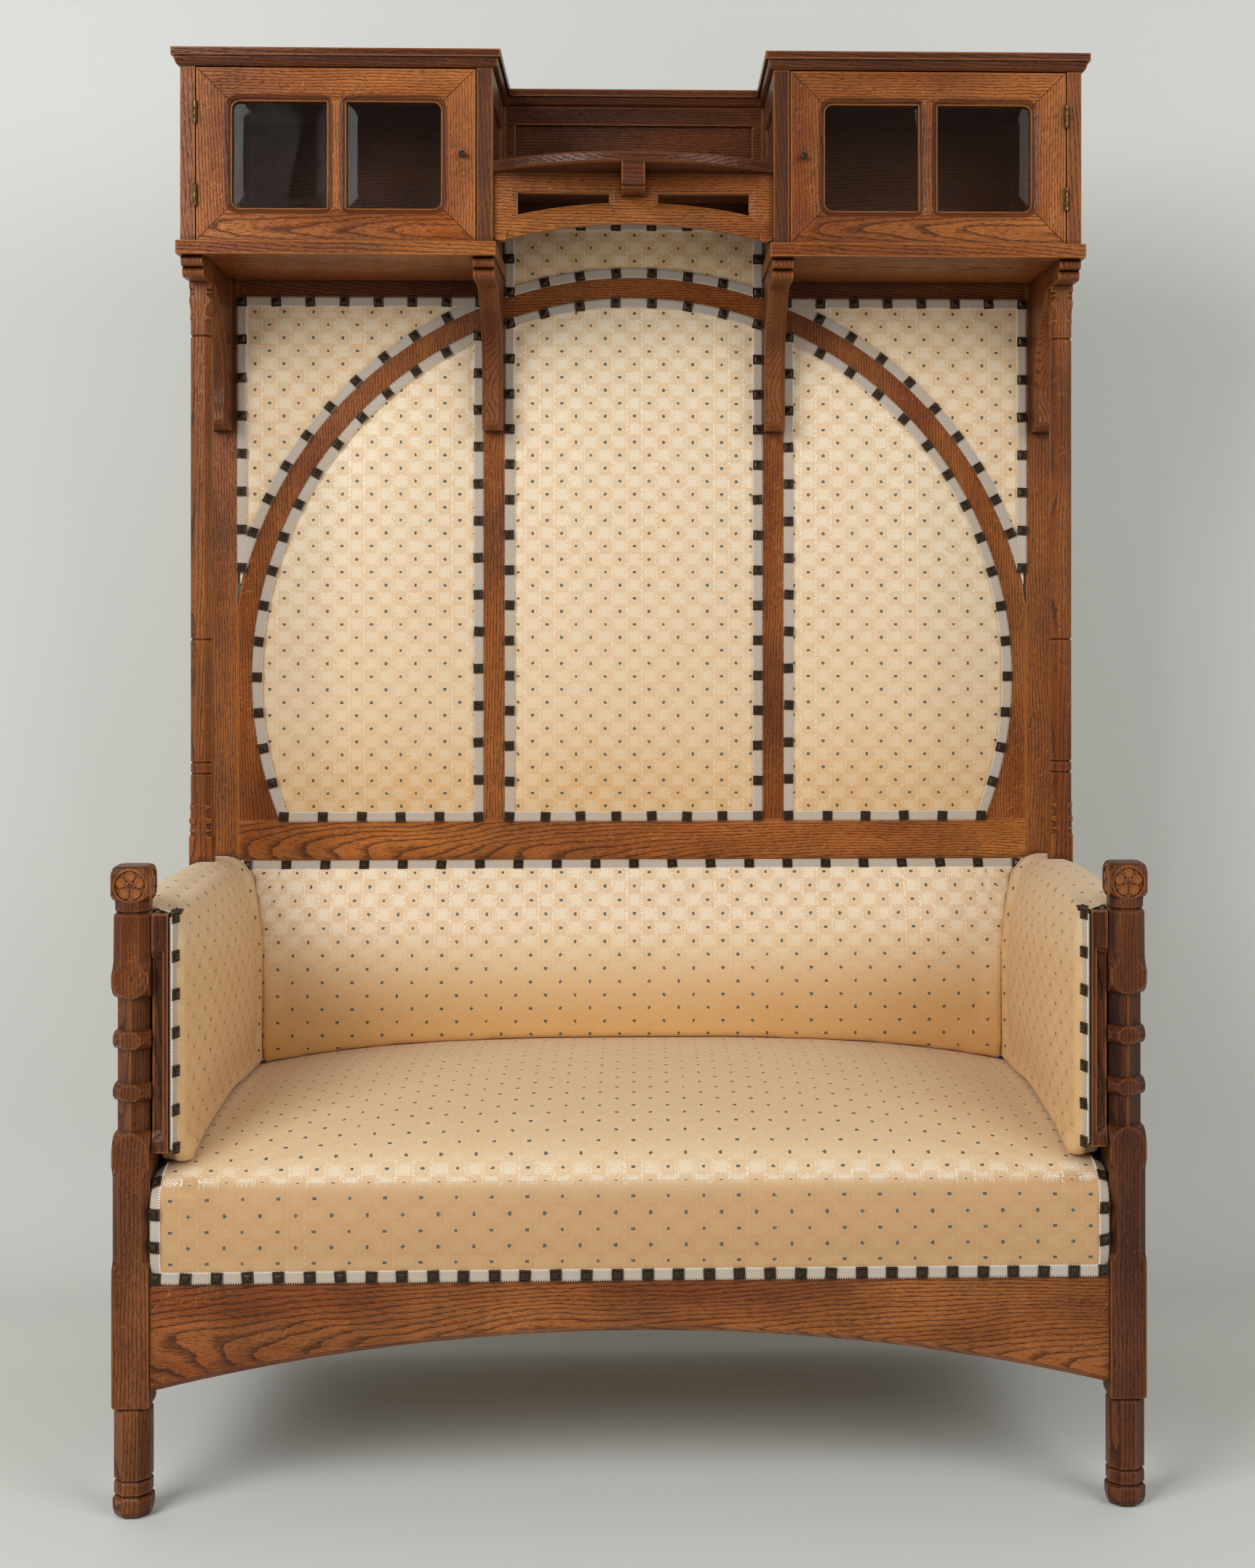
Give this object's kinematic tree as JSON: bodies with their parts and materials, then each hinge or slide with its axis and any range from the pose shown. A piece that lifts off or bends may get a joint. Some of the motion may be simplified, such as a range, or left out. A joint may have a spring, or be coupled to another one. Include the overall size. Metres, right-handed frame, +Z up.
{
  "type": "settle",
  "caption": "Tall oak hall settle with padded seat, arms and back panels in a circle of curved rails, and glazed cabinets either side of an open gallery.",
  "frame": {"origin": "centre of the settle's footprint, on the floor", "axes": "+X to the right as seen from the front, +Y from the front to the back, +Z up"},
  "size_m": [1.43, 0.708, 2.118],
  "materials": {
    "oak": "mid-brown stained and waxed oak, open pores and ray fleck, worn edges",
    "damask": "woven beige damask with a satin ground and small grey-green dots",
    "gimp": "pale ribbed braid with a picot edge",
    "webbing": "plain jute webbing and hessian",
    "bevelled_glass": "clear plate glass with a broad polished bevel",
    "aged_brass": "aged brass, dull and slightly brown",
    "dark_bronze": "dark oxidised bronze with rubbed edges"
  },
  "bodies": {
    "settle_frame": {"arch_rail_center": "oak", "arch_rail_left": "oak", "arch_rail_right": "oak", "arm_pad_left": "damask", "arm_pad_right": "damask", "arm_side_frame_left": "oak", "arm_side_frame_right": "oak", "back_muntin_left": "oak", "back_muntin_right": "oak", "back_panel_center": "damask", "back_panel_left": "damask", "back_panel_right": "damask", "back_panel_upper": "damask", "back_stile_left": "oak", "back_stile_right": "oak", "bracket_inner_left": "oak", "bracket_inner_right": "oak", "bracket_outer_left": "oak", "bracket_outer_right": "oak", "cabinet_back_left": "oak", "cabinet_back_right": "oak", "cabinet_floor_left": "oak", "cabinet_floor_right": "oak", "cabinet_inner_side_left": "oak", "cabinet_inner_side_right": "oak", "cabinet_outer_side_left": "oak", "cabinet_outer_side_right": "oak", "column_left": "oak", "column_right": "oak", "corner_panel_left": "damask", "corner_panel_right": "damask", "cornice_left": "oak", "cornice_right": "oak", "front_post_left": "oak", "front_post_right": "oak", "front_seat_rail": "oak", "gallery_apron": "oak", "gallery_back": "oak", "gallery_shelf": "oak", "hinge_frame_leaf_lower_left": "aged_brass", "hinge_frame_leaf_lower_right": "aged_brass", "hinge_frame_leaf_upper_left": "aged_brass", "hinge_frame_leaf_upper_right": "aged_brass", "lower_back_cushion": "damask", "mid_rail": "oak", "rear_seat_rail": "oak", "seat_cushion": "damask", "seat_webbing_deck": "webbing"},
    "left_door": {"door_frame_left": "oak", "door_glass_inner_left": "bevelled_glass", "door_glass_outer_left": "bevelled_glass", "door_knob_left": "dark_bronze", "hinge_door_leaf_lower_left": "aged_brass", "hinge_door_leaf_upper_left": "aged_brass"},
    "right_door": {"door_frame_right": "oak", "door_glass_inner_right": "bevelled_glass", "door_glass_outer_right": "bevelled_glass", "door_knob_right": "dark_bronze", "hinge_door_leaf_lower_right": "aged_brass", "hinge_door_leaf_upper_right": "aged_brass"}
  },
  "joints": [
    {"name": "left_door_hinge", "type": "hinge", "parent": "settle_frame", "child": "left_door", "pos_m": [-0.6788, 0.0476, 1.82103], "axis": [0, 0, -1], "range_deg": [0, 165]},
    {"name": "right_door_hinge", "type": "hinge", "parent": "settle_frame", "child": "right_door", "pos_m": [0.6788, 0.0476, 1.82103], "axis": [0, 0, 1], "range_deg": [0, 165]}
  ]
}
